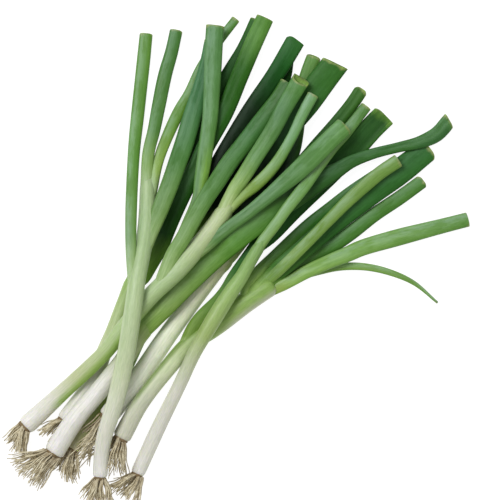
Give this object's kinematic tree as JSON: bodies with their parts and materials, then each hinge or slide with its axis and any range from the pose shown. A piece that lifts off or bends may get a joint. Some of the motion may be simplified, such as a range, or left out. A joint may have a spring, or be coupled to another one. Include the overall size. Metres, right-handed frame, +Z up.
{
  "type": "spring onion bunch",
  "caption": "bunch of trimmed spring onions lying loose, with white shanks crossed near the dry root tufts and long hollow green leaves fanned out to square-cut ends",
  "frame": {"origin": "middle of the footprint on the surface that the bunch lies on", "axes": "+Y from the roots to the cut leaf ends, along the bunch; +Z up from the surface; +X to the right seen from above with the leaves pointing away"},
  "size_m": [0.2582, 0.351, 0.0383],
  "materials": {
    "shank": "satin",
    "leaf": "satin",
    "roots": "matte"
  },
  "bodies": {
    "root": {"onion_1_shank": "shank", "onion_1_roots": "roots", "onion_1_leaf_1": "leaf", "onion_1_leaf_2": "leaf", "onion_1_leaf_3": "leaf", "onion_1_leaf_4": "leaf", "onion_1_leaf_5": "leaf", "onion_2_shank": "shank", "onion_2_roots": "roots", "onion_2_leaf_1": "leaf", "onion_2_leaf_2": "leaf", "onion_3_shank": "shank", "onion_3_roots": "roots", "onion_3_leaf_1": "leaf", "onion_3_leaf_2": "leaf", "onion_4_shank": "shank", "onion_4_roots": "roots", "onion_4_leaf_1": "leaf", "onion_4_leaf_2": "leaf", "onion_5_shank": "shank", "onion_5_roots": "roots", "onion_5_leaf_1": "leaf", "onion_5_leaf_2": "leaf", "onion_5_leaf_3": "leaf", "onion_5_leaf_4": "leaf", "onion_6_shank": "shank", "onion_6_roots": "roots", "onion_6_leaf_1": "leaf", "onion_6_leaf_2": "leaf", "onion_6_leaf_3": "leaf", "onion_7_shank": "shank", "onion_7_roots": "roots", "onion_7_leaf_1": "leaf", "onion_7_leaf_2": "leaf", "onion_7_leaf_3": "leaf", "onion_7_leaf_4": "leaf", "onion_7_leaf_5": "leaf", "onion_7_leaf_6": "leaf", "onion_7_leaf_7": "leaf", "onion_8_shank": "shank", "onion_8_roots": "roots", "onion_8_leaf_1": "leaf"}
  },
  "joints": []
}
